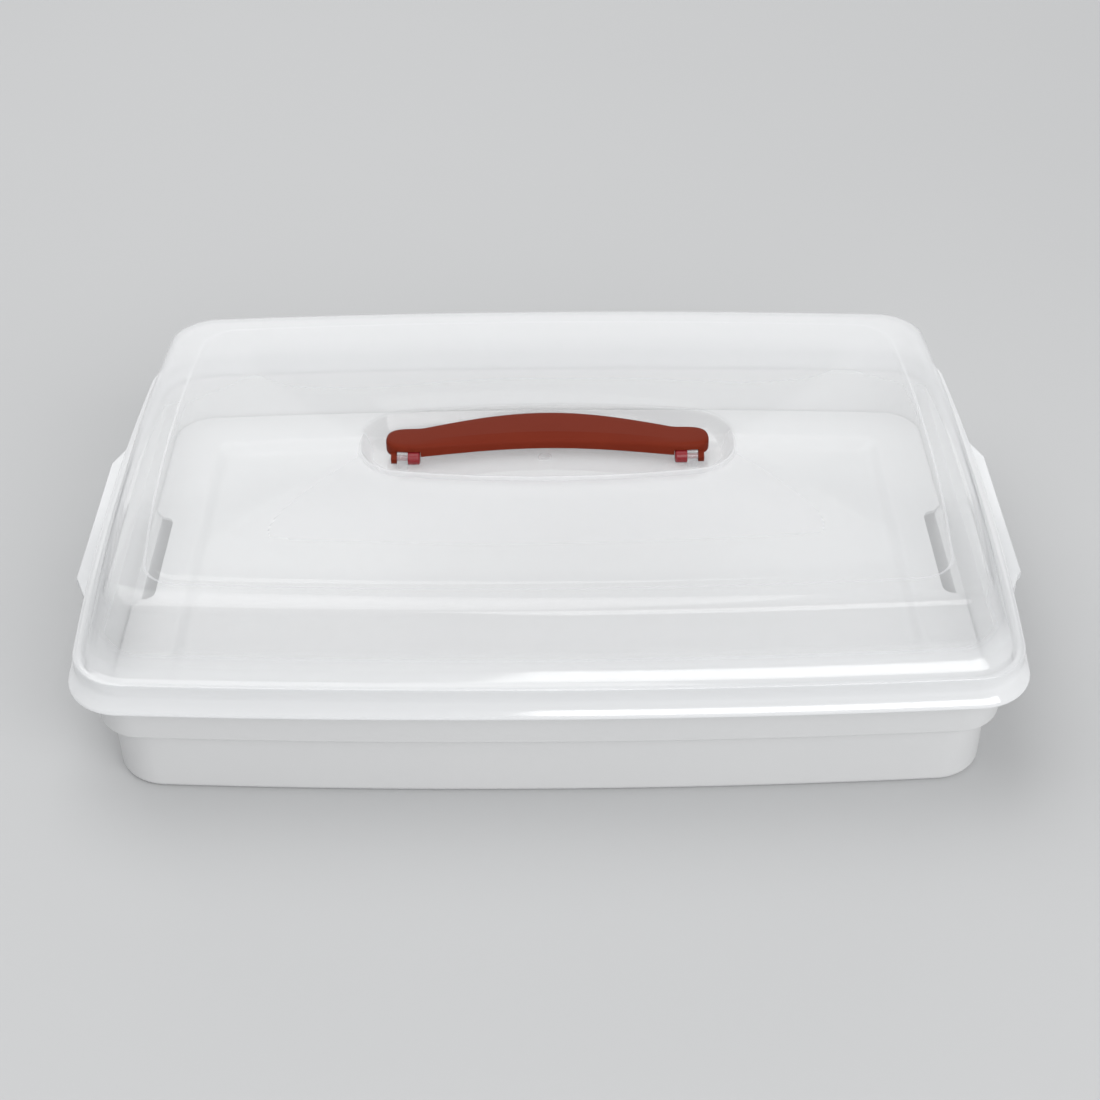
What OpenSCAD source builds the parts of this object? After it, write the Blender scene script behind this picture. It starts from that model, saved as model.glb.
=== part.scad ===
// Rectangular cake carrier: a stepped tub, a lifting insert and a clear domed lid
// with a folding carry handle and a latch on each short side.
// Origin: middle of the footprint, on the surface that the tub stands on.
// X runs along the long side, Y from front to back, Z up. All sizes in millimetres.

/* [Tub] */
// Length of the tub over its upper wall
tub_length = 423.4; // [380:0.2:480]
// Depth of the tub over its upper wall, at the middle of the long sides
tub_depth = 277.2; // [240:0.2:320]
// How far the long sides swell out at their middle
long_bow = 6.5; // [2:0.5:10]
// Plan radius of the tub's corners
tub_corner_r = 21; // [16:1:30]
// Plan radius of the corners of the tub's lower wall
lower_corner_r = 23; // [16:1:30]
// Wall thickness of the tub
tub_wall = 1.8; // [1.4:0.1:2.4]
// Height of the tub's rim
tub_height = 64; // [56:0.5:72]
// Height of the step in the tub's outer wall
step_height = 35.6; // [28:0.2:40]
// How far the lower wall stands in at the step
step_width = 4.4; // [3.4:0.2:6]
// Radius of the round between the lower wall and the base
foot_radius = 3; // [2.5:0.5:8]
// How far the rim's flange reaches out past the upper wall
rim_flange = 3.9; // [3:0.1:5]

/* [Lifting insert] */
// Sheet thickness of the insert
insert_sheet = 1.6; // [1.2:0.1:2.2]
// Gap between the insert's edge and the tub's upper wall
insert_gap = 1.1; // [0.6:0.1:1.6]
// Width of the flat border round the insert's sunken field
insert_border = 25; // [18:1:32]
// Depth of the sunken field
insert_sink = 6; // [3:0.5:9]
// Length of each finger notch at the insert's edge
notch_length = 84; // [60:2:110]
// Depth of each finger notch
notch_depth = 10; // [7:0.5:14]
// Radius of the finger notch's inner corners
notch_corner_r = 6; // [3:0.5:7]

/* [Lid] */
// Wall thickness of the lid
lid_wall = 1.6; // [1.2:0.1:2]
// Overall height of the lid's top panel
lid_top = 110.6; // [104:0.5:120]
// Height of the lid's lower edge
lip_height = 58.4; // [54:0.2:60]
// Height of the shelf at the foot of the lid's wall
shelf_height = 73.6; // [71:0.2:75]
// Gap between the tub's flange and the inside of the lid's skirt
skirt_gap = 0.8; // [0.5:0.1:1.5]
// How far the lid's lip flares out past its skirt
lip_flare = 3.4; // [2.6:0.2:5]
// How far the lid's short sides swell out at their middle
short_bow = 5.6; // [3:0.2:8]
// Plan radius of the lid's corners at the lip
lid_corner_r = 24; // [20:1:32]
// Distance from the lip to the edge of the flat top panel
panel_inset = 34; // [30:1:40]
// Lean of the lid's wall: distance from the lip to the top of the wall
wall_inset = 15.6; // [13:0.2:18]
// Distance from the lip to the foot of the lid's wall
foot_inset = 7.4; // [6.6:0.2:8.4]
// How much more the walls of the short sides lean in, as a share of their inset
side_lean = 0.2; // [0:0.02:0.3]

/* [Handle recess] */
// Length of the recess
recess_length = 185; // [178:1:200]
// Depth of the recess from front to back
recess_depth = 63; // [58:1:72]
// How far the recess's long edges swell out at their middle
recess_bow = 9; // [5:0.5:12]
// Depth of the recess's floor below the panel
recess_sink = 10; // [9.5:0.1:12]

/* [Handle] */
// Overall length of the handle
handle_length = 160; // [150:1:166]
// Thickness of the handle's grip
handle_thick = 6.6; // [6:0.1:8]
// Width of the grip at its middle
grip_width = 23.8; // [18:0.2:24]
// Width of the pad at each end
pad_width = 17.2; // [15:0.2:18]
// How far the grip arches away from its pads
grip_arch = 10.2; // [8:0.2:11]
// Wall of the handle's hollow underside
handle_wall = 2.2; // [1.8:0.1:2.6]
// Distance from the middle of the recess forward to the pads' front edge
pad_front = 7; // [5:0.5:9]
// Distance from the pads' front edge back to the pivot axis
pivot_from_front = 0.5; // [0:0.1:0.6]
// Height of the pivot axis above the recess floor
pivot_height = 3.9; // [3.8:0.1:4.4]
// Diameter of each pivot pin's shank
pin_d = 3.2; // [2.6:0.1:3.6]
// Diameter of each pivot pin's head
pin_head_d = 6.8; // [6:0.1:7.2]
// Length of each pivot pin's head
pin_head_length = 6; // [4:0.2:7]
// Width of the lug that each pin passes through
lug_width = 5.2; // [4:0.2:6]
// Wall of the lug round its bore
lug_ring = 1.7; // [1.4:0.1:1.9]
// Distance from the handle's end to the inner face of its ear
ear_inset = 5.6; // [5:0.2:7]
// Thickness of the handle's ear
ear_width = 2.8; // [2:0.2:3.4]
// Wall of the ear round its bore
ear_ring = 1.2; // [1:0.1:1.4]
// Radial running clearance of the pins and of the latch pegs
running_gap = 0.05; // [0.02:0.01:0.08]
// Side clearance between parts that turn past each other
side_gap = 0.3; // [0.2:0.05:0.5]

/* [Latches] */
// Length of each latch
latch_length = 92; // [70:2:110]
// Height of each latch from its hinge to its lower edge
latch_height = 21.5; // [19:0.5:23]
// Plate thickness of the latch
latch_plate = 2.2; // [1.8:0.1:2.6]
// Diameter of the latch's hinge barrel
barrel_d = 4; // [3.8:0.1:4.4]
// Diameter of the pegs at the ends of the barrel
peg_d = 2.4; // [2:0.1:2.6]
// Distance from the lid's lip out to the hinge axis
hinge_reach = 2.8; // [2.6:0.1:3.6]
// Height of the hinge axis above the lid's lower edge
hinge_rise = 2.1; // [2:0.1:4]
// Thickness of each ear that carries a peg
latch_ear = 3.4; // [2.6:0.2:4]
// Length of the catch rib on the tub
catch_length = 70; // [50:2:80]
// Thickness of the catch rib
catch_thick = 2.4; // [1.8:0.1:3]
// Gap between the latch's hook and the catch rib, in plan and in height
catch_gap = 0.4; // [0.3:0.1:0.8]
// Thickness of the lid's shelf that covers each latch's hinge
cover_thick = 1.6; // [1.2:0.1:2]
// How far that shelf tapers off past each end of the latch
cover_taper = 22; // [12:1:26]

/* [Hidden] */
$fn = 48;
eps = 0.01;

tub_half_x = tub_length / 2;
tub_half_y = tub_depth / 2;
ledge_z = step_height + tub_wall;
tub_corner_rate = 0.7;
lid_corner_rate = 0.3;
insert_top = ledge_z + insert_sheet;
insert_half_x = tub_half_x - tub_wall - insert_gap;
insert_half_y = tub_half_y - tub_wall - insert_gap;

// the lid's lip stands outside the tub's flange by the skirt's gap, wall and flare,
// and its swollen short sides stand further out, so that they still clear the flange near the corners
skirt_out = rim_flange + skirt_gap + lid_wall;
bow_share = 0.85;
lid_half_y = tub_half_y + skirt_out + lip_flare;
lid_half_x = tub_half_x + skirt_out + lip_flare + bow_share * short_bow;

panel_crown = 0.6;
panel_z = lid_top - panel_crown;
recess_floor = lid_top - recess_sink;
crease_z = shelf_height + 5.4;
wall_top_z = lid_top - 13;

pad_half = handle_length / 2;
pivot_y = pivot_from_front - pad_front;
pivot_z = recess_floor + pivot_height;
handle_base = pivot_z + 0.5;
handle_top = handle_base + handle_thick;
slot_r = max(pin_d / 2 + lug_ring, pin_head_d / 2) + side_gap;
lug_out = pad_half - ear_inset - side_gap;
lug_in = lug_out - lug_width;
head_in = lug_in - pin_head_length;
grip_half = head_in - side_gap;

hinge_x = lid_half_x + hinge_reach;
hinge_z = lip_height + hinge_rise;
latch_half = latch_length / 2;
latch_foot = hinge_z - latch_height;
plate_out = hinge_x + barrel_d / 2;
plate_in = plate_out - latch_plate;
catch_out = lid_half_x - 3.5;
hook_tip = catch_out + catch_gap;
hook_top = latch_foot + 6;
catch_z = hook_top + catch_gap;

// Segments in each corner, along half of each long side and along half of each short side
corner_seg = 8;
long_seg = 5;
short_seg = 4;

// Points of a rounded rectangle, anticlockwise from the right-hand short side
function round_rect(a, b, r) = concat(
    [for (i = [0 : short_seg - 1]) [a, (b - r) * i / short_seg]],
    [for (i = [0 : corner_seg]) [a - r + r * cos(90 * i / corner_seg), b - r + r * sin(90 * i / corner_seg)]],
    [for (i = [1 : 2 * long_seg - 1]) [(a - r) * (1 - i / long_seg), b]],
    [for (i = [0 : corner_seg]) [r - a - r * sin(90 * i / corner_seg), b - r + r * cos(90 * i / corner_seg)]],
    [for (i = [1 : 2 * short_seg - 1]) [-a, (b - r) * (1 - i / short_seg)]],
    [for (i = [0 : corner_seg]) [r - a - r * cos(90 * i / corner_seg), r - b - r * sin(90 * i / corner_seg)]],
    [for (i = [1 : 2 * long_seg - 1]) [(a - r) * (i / long_seg - 1), -b]],
    [for (i = [0 : corner_seg]) [a - r + r * sin(90 * i / corner_seg), r - b - r * cos(90 * i / corner_seg)]],
    [for (i = [short_seg : -1 : 1]) if (i < short_seg) [a, (r - b) * i / short_seg]]
);

// The same outline with its sides swollen out: half sizes are taken at the middle of each side
function bowed(half_x, half_y, bow_y, bow_x, r) =
    let (a = half_x - bow_x, b = half_y - bow_y)
    [for (p = round_rect(a, b, r)) [p.x * (1 + bow_x / a * (1 - pow(p.y / b, 2))),
                                    p.y * (1 + bow_y / b * (1 - pow(p.x / a, 2)))]];

function ring(outline, z) = [for (p = outline) [p.x, p.y, z]];

// One closed skin through a list of rings: the first and last rings are closed by fans about a middle point
module skin(rings, middle = 0) {
    n = len(rings[0]);
    m = len(rings);
    hubs = [[0, middle, rings[0][0].z], [0, middle, rings[m - 1][0].z]];
    first_cap = [for (j = [0 : n - 1]) [n * m, j, (j + 1) % n]];
    last_cap = [for (j = [0 : n - 1]) [n * m + 1, (m - 1) * n + (j + 1) % n, (m - 1) * n + j]];
    sides = [for (i = [0 : m - 2], j = [0 : n - 1], half = [0, 1])
        let (k = (j + 1) % n, low = i * n, high = low + n)
        half == 0 ? [low + j, high + j, high + k] : [low + j, high + k, low + k]];
    points = concat([for (r = rings, p = r) p], hubs);
    polyhedron(points = points, faces = concat(first_cap, sides, last_cap), convexity = 8);
}

// Rings of the tub above and below its step: both insets are measured from the upper wall's outer face
function tub_ring(inset, r, z) = ring(bowed(tub_half_x - inset, tub_half_y - inset, long_bow, 0, max(r, 4)), z);

function upper_ring(inset, z) = tub_ring(inset, tub_corner_r - tub_corner_rate * inset, z);

function lower_ring(inset, z) = tub_ring(inset, lower_corner_r - tub_corner_rate * (inset - step_width), z);

module catch_rib(side) {
    gusset = [[tub_half_x - eps, catch_z + eps], [catch_out - 1.5, catch_z + eps], [tub_half_x - eps, step_height + 2]];
    translate([side > 0 ? tub_half_x - tub_wall / 2 : -catch_out, -catch_length / 2, catch_z])
        cube([catch_out - tub_half_x + tub_wall / 2, catch_length, catch_thick]);
    for (place = [-1, -1 / 3, 1 / 3, 1])
        translate([0, place * (catch_length / 2 - 2), 0])
            mirror([side > 0 ? 0 : 1, 0, 0])
                rotate([90, 0, 0])
                    translate([0, 0, -1])
                        linear_extrude(2)
                            polygon(gusset);
}

module base_tub() {
    low = step_width;
    inner = step_width + tub_wall;
    in_r = foot_radius - tub_wall;
    outer_foot = [for (t = [0 : 22.5 : 90])
        lower_ring(low + foot_radius * (1 - sin(t)), foot_radius * (1 - cos(t)))];
    outer_wall = [lower_ring(low, step_height - 0.8), lower_ring(low - 0.3, step_height),
        upper_ring(0.5, step_height), upper_ring(0, step_height + 0.6), upper_ring(0, tub_height - tub_wall - 0.8),
        upper_ring(-0.8, tub_height - tub_wall)];
    rim = [upper_ring(-rim_flange, tub_height - tub_wall), upper_ring(-rim_flange, tub_height - 0.4),
        upper_ring(0.4 - rim_flange, tub_height), upper_ring(tub_wall - 0.6, tub_height)];
    inner_wall = [upper_ring(tub_wall, tub_height - 0.6), upper_ring(tub_wall, ledge_z + 0.4),
        upper_ring(tub_wall + 0.4, ledge_z), lower_ring(inner - 0.4, ledge_z), lower_ring(inner, ledge_z - 0.4)];
    inner_foot = [for (t = [90 : -22.5 : 0])
        lower_ring(inner + in_r * (1 - sin(t)), tub_wall + in_r * (1 - cos(t)))];
    color("gainsboro")
        union() {
            skin(concat(outer_foot, outer_wall, rim, inner_wall, inner_foot));
            for (side = [-1, 1]) catch_rib(side);
        }
}

function insert_ring(inset, z) =
    ring(bowed(insert_half_x - inset, insert_half_y - inset, long_bow, 0,
               max(tub_corner_r - tub_wall - insert_gap - 0.5 * inset, 6)), z);

// Plan of a finger notch, open towards the insert's edge
module notch_plan() {
    half = notch_length / 2;
    inner_half = half - notch_depth * 0.7;
    union() {
        polygon([[1, half], [-notch_depth + notch_corner_r, inner_half], [-notch_depth + notch_corner_r, -inner_half],
                 [1, -half]]);
        translate([-notch_depth, -inner_half + notch_corner_r])
            square([notch_depth, 2 * (inner_half - notch_corner_r)]);
        for (end = [-1, 1])
            translate([-notch_depth + notch_corner_r, end * (inner_half - notch_corner_r)])
                circle(r = notch_corner_r);
    }
}

module lifting_insert() {
    slope = 4;
    field = insert_border + slope;
    color("whitesmoke")
        difference() {
            skin([
                insert_ring(field + 1, insert_top - insert_sink - insert_sheet),
                insert_ring(field - 1, insert_top - insert_sink - insert_sheet + 0.6),
                insert_ring(insert_border - 0.4, ledge_z - 0.6),
                insert_ring(insert_border - 2, ledge_z),
                insert_ring(0.3, ledge_z),
                insert_ring(0, ledge_z + 0.3),
                insert_ring(0, insert_top - 0.3),
                insert_ring(0.3, insert_top),
                insert_ring(insert_border - 1, insert_top),
                insert_ring(insert_border + 0.8, insert_top - 0.6),
                insert_ring(field, insert_top - insert_sink + 0.6),
                insert_ring(field + 2, insert_top - insert_sink)
            ]);
            for (side = [-1, 1])
                translate([side * insert_half_x, 0, ledge_z - 1])
                    mirror([side > 0 ? 0 : 1, 0, 0])
                        linear_extrude(insert_sheet + 2)
                            notch_plan();
        }
}

function lid_ring(inset, z) =
    ring(bowed(lid_half_x - inset - side_lean * max(inset - foot_inset, 0), lid_half_y - inset,
               long_bow, short_bow, max(lid_corner_r - lid_corner_rate * inset, 8)), z);

function recess_ring(inset, z) =
    ring(bowed(recess_length / 2 - inset, recess_depth / 2 - inset, recess_bow, 0, max(18 - inset, 6)), z);

module lid_shell() {
    skirt_x = lip_flare;
    inner_skirt = lip_flare + lid_wall;
    seat = lip_flare + lid_wall + skirt_gap;
    under_recess = [recess_ring(11, recess_floor - lid_wall), recess_ring(8.4, recess_floor - lid_wall + 0.3),
        recess_ring(4.6, recess_floor - lid_wall + 1.9), recess_ring(1.2, recess_floor - lid_wall + 5.9),
        recess_ring(-0.4, panel_z - lid_wall - 0.6), recess_ring(-1.4, panel_z - lid_wall)];
    ceiling = [lid_ring(panel_inset, panel_z - lid_wall), lid_ring(24.5, lid_top - 1.4 - lid_wall),
        lid_ring(21.2, lid_top - 2.3 - lid_wall), lid_ring(wall_inset + lid_wall + 2, lid_top - 5.8),
        lid_ring(wall_inset + lid_wall + 0.7, lid_top - 8.8)];
    inner_wall = [lid_ring(wall_inset + lid_wall, wall_top_z), lid_ring(10 + lid_wall, crease_z - 0.3),
        lid_ring(foot_inset + lid_wall, crease_z - 4.9), lid_ring(seat + 2.6, shelf_height - lid_wall)];
    seat_rib = [lid_ring(seat + 2.4, tub_height), lid_ring(seat + 0.8, tub_height),
        lid_ring(seat + 0.6, shelf_height - lid_wall), lid_ring(inner_skirt + 0.5, shelf_height - lid_wall)];
    skirt = [lid_ring(inner_skirt, shelf_height - lid_wall - 0.5), lid_ring(inner_skirt - 0.2, lip_height + 7.2),
        lid_ring(inner_skirt - 1.4, lip_height + 4), lid_ring(lid_wall + 0.6, lip_height + 1.4),
        lid_ring(lid_wall, lip_height), lid_ring(0.4, lip_height), lid_ring(0, lip_height + 0.8),
        lid_ring(0.5, lip_height + 2.4), lid_ring(skirt_x - 1.4, lip_height + 4.8),
        lid_ring(skirt_x - 0.4, lip_height + 7.6)];
    shelf = [lid_ring(skirt_x, shelf_height - 1.6), lid_ring(skirt_x + 0.5, shelf_height - 0.5),
        lid_ring(skirt_x + 1.6, shelf_height), lid_ring(foot_inset, crease_z - 4.4), lid_ring(10, crease_z)];
    outer_wall = [lid_ring(wall_inset, wall_top_z), lid_ring(wall_inset + 0.6, lid_top - 8),
        lid_ring(wall_inset + 1.8, lid_top - 5), lid_ring(19.2, lid_top - 2.9), lid_ring(21.4, lid_top - 1.9),
        lid_ring(24.5, lid_top - 1.4)];
    top = [lid_ring(panel_inset, panel_z), lid_ring(panel_inset + 1.5, panel_z + 0.35),
        recess_ring(-0.8, lid_top), recess_ring(0.6, lid_top - 0.6)];
    recess = [recess_ring(2.6, recess_floor + 5.2), recess_ring(5.6, recess_floor + 1.6),
        recess_ring(9, recess_floor + 0.2), recess_ring(11, recess_floor)];
    skin(concat(under_recess, ceiling, inner_wall, seat_rib, skirt, shelf, outer_wall, top, recess));
}

// Lug that stands on the recess floor and carries a pivot pin
module handle_lug(side) {
    lug_r = pin_d / 2 + lug_ring;
    translate([side > 0 ? lug_in : -lug_out, pivot_y, 0])
        union() {
            translate([0, 0, pivot_z])
                rotate([0, 90, 0])
                    cylinder(r = lug_r, h = lug_width);
            translate([0, -lug_r, recess_floor - lid_wall / 2])
                cube([lug_width, 2 * lug_r, pivot_z - recess_floor + lid_wall / 2]);
        }
}

// Ear on the lid's skirt that carries one end of a latch
module latch_lug(side, end) {
    reach = hinge_x - (lid_half_x - lip_flare - lid_wall);
    near = latch_half + side_gap;
    translate([0, end > 0 ? near : -near - latch_ear, hinge_z])
        union() {
            translate([side * hinge_x, 0, 0])
                rotate([-90, 0, 0])
                    cylinder(d = barrel_d, h = latch_ear);
            translate([side > 0 ? hinge_x - reach : -hinge_x, 0, -barrel_d / 2])
                cube([reach, latch_ear, barrel_d]);
            translate([side > 0 ? hinge_x - reach : -hinge_x - barrel_d / 2, 0, 0])
                cube([reach + barrel_d / 2, latch_ear, barrel_d / 2 + side_gap + cover_thick / 2]);
        }
}

// Shelf on the lid's skirt that covers a latch's hinge and stops the latch when it is level
module latch_cover(side) {
    root = lid_half_x - lip_flare - lid_wall;
    near = latch_half + side_gap + latch_ear;
    plan = [[root, -near - cover_taper], [plate_out, -near + 1], [plate_out, near - 1],
            [root, near + cover_taper]];
    translate([0, 0, hinge_z + barrel_d / 2 + side_gap])
        mirror([side > 0 ? 0 : 1, 0, 0])
            linear_extrude(cover_thick)
                polygon(plan);
}

module lid_cover() {
    color("ghostwhite", 0.5)
        difference() {
            union() {
                lid_shell();
                for (side = [-1, 1]) {
                    handle_lug(side);
                    latch_cover(side);
                    for (end = [-1, 1]) latch_lug(side, end);
                }
            }
            for (side = [-1, 1]) {
                translate([side > 0 ? lug_in - 1 : -lug_out - 1, pivot_y, pivot_z])
                    rotate([0, 90, 0])
                        cylinder(d = pin_d + 2 * running_gap, h = lug_width + 2);
                translate([side * hinge_x, -latch_half - latch_ear - 1, hinge_z])
                    rotate([-90, 0, 0])
                        cylinder(d = peg_d + 2 * running_gap, h = latch_length + 2 * latch_ear + 2);
            }
        }
}

// Plan of the handle at a given inset: straight pads at the ends, an arched grip between
function grip_rise(x) = cos(90 * min(abs(x) / grip_half, 1));
function end_round(k) = pow(max(1 - pow(abs(k), 24), 0), 0.45);
function handle_edge(k, inset, side) =
    let (x = (pad_half - inset) * k,
         rise = grip_rise(x),
         middle = pad_width / 2 - pad_front + grip_arch * rise,
         half = (pad_width + (grip_width - pad_width) * rise) / 2 - inset)
    [x, middle + side * half * end_round(k)];
function handle_ring(inset, z) = ring(concat(
    [for (i = [0 : 36]) handle_edge(sin(5 * i - 90), inset, -1)],
    [for (i = [1 : 35]) handle_edge(sin(90 - 5 * i), inset, 1)]), z);

// Hollow under the grip, between the two pads
module grip_hollow() {
    reach = grip_half - 4;
    steps = 24;
    front = [for (i = [0 : steps]) let (x = reach * (2 * i / steps - 1)) [x,
        grip_arch * grip_rise(x) - pad_front - (grip_width - pad_width) / 2 * grip_rise(x) + handle_wall]];
    back = [for (i = [steps : -1 : 0]) let (x = reach * (2 * i / steps - 1)) [x,
        grip_arch * grip_rise(x) - pad_front + pad_width + (grip_width - pad_width) / 2 * grip_rise(x) - handle_wall]];
    translate([0, 0, handle_base - 1])
        linear_extrude(handle_thick - handle_wall + 1)
            polygon(concat(front, back));
}

// Ear at a handle's end that turns on the pin
module handle_ear(side) {
    ear_r = pin_d / 2 + ear_ring;
    inner = pad_half - ear_inset;
    translate([side > 0 ? inner : -inner - ear_width, pivot_y, 0])
        union() {
            translate([0, 0, pivot_z])
                rotate([0, 90, 0])
                    cylinder(r = ear_r, h = ear_width);
            translate([0, -ear_r + 2, pivot_z])
                cube([ear_width, 2 * ear_r, handle_base - pivot_z + 2]);
            translate([0, -ear_r, pivot_z])
                cube([ear_width, ear_r, handle_base - pivot_z + 0.6]);
        }
}

module carry_handle() {
    color("saddlebrown")
        difference() {
            union() {
                skin([handle_ring(0.6, handle_base), handle_ring(0, handle_base + 0.6),
                      handle_ring(0, handle_top - 2), handle_ring(0.4, handle_top - 1),
                      handle_ring(1.2, handle_top - 0.3), handle_ring(2.4, handle_top)], 8);
                for (side = [-1, 1]) handle_ear(side);
            }
            grip_hollow();
            for (side = [-1, 1]) {
                translate([side > 0 ? grip_half : -lug_out - side_gap, pivot_y, pivot_z])
                    rotate([0, 90, 0])
                        cylinder(r = slot_r, h = lug_out + side_gap - grip_half);
                translate([side > 0 ? lug_out - 1 : -pad_half - 1, pivot_y, pivot_z])
                    rotate([0, 90, 0])
                        cylinder(d = pin_d + 2 * running_gap, h = pad_half - lug_out + 2);
            }
        }
}

// Pivot pin: a shank through the lug and the handle's ear, and a head against the lug's inner face
module handle_pin(side) {
    shank = pad_half - ear_inset + ear_width - 0.3 - lug_in;
    bevel = 0.8;
    color("firebrick")
        translate([0, pivot_y, pivot_z])
            mirror([side > 0 ? 0 : 1, 0, 0])
                union() {
                    translate([lug_in - 0.5, 0, 0])
                        rotate([0, 90, 0])
                            cylinder(d = pin_d, h = shank + 0.5);
                    translate([head_in + bevel, 0, 0])
                        rotate([0, 90, 0])
                            cylinder(d = pin_head_d, h = pin_head_length - bevel);
                    translate([head_in, 0, 0])
                        rotate([0, 90, 0])
                            cylinder(d1 = pin_head_d - 2 * bevel, d2 = pin_head_d, h = bevel);
                }
}

module handle_pin_left() {
    handle_pin(-1);
}

module handle_pin_right() {
    handle_pin(1);
}

// Face of the latch's plate, seen from the side of the box, with rounded lower corners
module latch_face() {
    corner = 7;
    union() {
        translate([-latch_half, corner])
            square([latch_length, latch_height - corner]);
        translate([corner - latch_half, 0])
            square([latch_length - 2 * corner, latch_height]);
        for (end = [-1, 1])
            translate([end * (latch_half - corner), corner])
                circle(r = corner);
    }
}

module latch(side) {
    hook = [[plate_in + 0.5, latch_foot + 0.8], [plate_in + 0.5, hook_top], [hook_tip, hook_top],
            [hook_tip, hook_top - 1.6]];
    hook_half = catch_length / 2;
    peg_half = latch_half + side_gap + latch_ear - 0.2;
    color("ghostwhite", 0.6)
        mirror([side > 0 ? 0 : 1, 0, 0])
            union() {
                translate([hinge_x, -latch_half, hinge_z])
                    rotate([-90, 0, 0])
                        cylinder(d = barrel_d, h = latch_length);
                translate([hinge_x, -peg_half, hinge_z])
                    rotate([-90, 0, 0])
                        cylinder(d = peg_d, h = 2 * peg_half);
                translate([plate_in, 0, latch_foot])
                    rotate([90, 0, 90])
                        linear_extrude(latch_plate)
                            latch_face();
                translate([0, hook_half, 0])
                    rotate([90, 0, 0])
                        linear_extrude(2 * hook_half)
                            polygon(hook);
            }
}

module latch_left() {
    latch(-1);
}

module latch_right() {
    latch(1);
}

base_tub();
lifting_insert();
lid_cover();
carry_handle();
handle_pin_left();
handle_pin_right();
latch_left();
latch_right();
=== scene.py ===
# %% [markdown]
# # A rectangular cake carrier
# The carrier is a pale stepped tub with a white plate lying inside it, under a clear, slightly
# milky lid. A brown handle folds into a recess in the lid, and a clear latch hangs on each short
# side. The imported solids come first: they are the fixed frame that every finer piece is built on.

# %% Load the frame
from math import cos, hypot, pi, radians, sin

import bmesh
import bpy
from mathutils import Matrix, Vector


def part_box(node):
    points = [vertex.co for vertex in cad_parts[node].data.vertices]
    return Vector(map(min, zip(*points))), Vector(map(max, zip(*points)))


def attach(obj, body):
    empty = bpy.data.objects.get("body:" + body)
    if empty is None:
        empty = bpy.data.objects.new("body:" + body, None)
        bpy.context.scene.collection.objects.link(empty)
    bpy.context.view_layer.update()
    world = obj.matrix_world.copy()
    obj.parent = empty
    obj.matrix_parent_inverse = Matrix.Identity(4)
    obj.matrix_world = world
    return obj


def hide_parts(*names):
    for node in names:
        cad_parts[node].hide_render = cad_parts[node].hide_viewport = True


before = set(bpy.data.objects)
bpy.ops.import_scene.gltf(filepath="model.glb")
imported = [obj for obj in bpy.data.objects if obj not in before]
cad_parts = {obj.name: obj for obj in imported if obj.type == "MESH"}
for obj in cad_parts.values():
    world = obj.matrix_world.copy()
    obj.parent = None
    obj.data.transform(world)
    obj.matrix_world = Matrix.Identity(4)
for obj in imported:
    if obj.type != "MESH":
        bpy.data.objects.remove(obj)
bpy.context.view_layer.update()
MM = 0.001


# %% [markdown]
# ## Sizes
# Every size that the pieces share is read from the solids, so the dressed part always fits them.
# What a box cannot tell, such as the bow of a side or the height of a step, is named here once.

# %% Read the main sizes from the solids
def box_mm(node):
    low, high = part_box(node)
    return low / MM, high / MM


tub_high = box_mm("base_tub")[1]
lid_low, lid_high = box_mm("lid_cover")
insert_high = box_mm("lifting_insert")[1]
handle_high = box_mm("carry_handle")[1]
pin_low, pin_high = box_mm("handle_pin_right")
latch_low, latch_high = box_mm("latch_right")

LONG_BOW, SHORT_BOW = 6.5, 5.6
WALL, RIM_FLANGE, STEP_WIDTH, FOOT_RADIUS = 1.8, 3.9, 4.4, 3.0
INSERT_SHEET, INSERT_GAP = 1.6, 1.1
LID_WALL, LIP_FLARE, SKIRT_GAP = 1.6, 3.4, 0.8
# The share of the lid's short bow that stands out past the tub's straight short side.
BOW_SHARE = 0.85

tub_half_y = tub_high.y - RIM_FLANGE
tub_half_x = insert_high.x + WALL + INSERT_GAP
tub_top = tub_high.z
ledge_z = insert_high.z - INSERT_SHEET
step_z = ledge_z - WALL
lip_z = lid_low.z
lid_top = lid_high.z
lid_half_y = lid_high.y
lid_half_x = tub_half_x + RIM_FLANGE + SKIRT_GAP + LID_WALL + LIP_FLARE + BOW_SHARE * SHORT_BOW
print("tub half sizes", round(tub_half_x, 2), round(tub_half_y, 2), "rim", round(tub_top, 2))
print("lid half sizes", round(lid_half_x, 2), round(lid_half_y, 2), "top", round(lid_top, 2))


# %% [markdown]
# ## The outline that everything shares
# Seen from above, tub, insert and lid are all rounded rectangles whose sides swell out a little.
# A moulder draws that outline once and insets it for each height. The same is done here: one
# function gives the outline, and a stack of insets and heights becomes a skin. Lofting a stack
# keeps the quads running round the box, so highlights flow along the sides without pinching.

# %% Outline of a rounded rectangle with swollen sides
LONG_STEPS, SHORT_STEPS, CORNER_STEPS = 24, 16, 10


def quarter(cx, cy, r, start):
    return [(cx + r * cos(start + pi / 2 * i / CORNER_STEPS),
             cy + r * sin(start + pi / 2 * i / CORNER_STEPS)) for i in range(CORNER_STEPS + 1)]


def between(a, b, steps):
    return [(a[0] + (b[0] - a[0]) * i / steps, a[1] + (b[1] - a[1]) * i / steps)
            for i in range(1, steps)]


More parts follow.
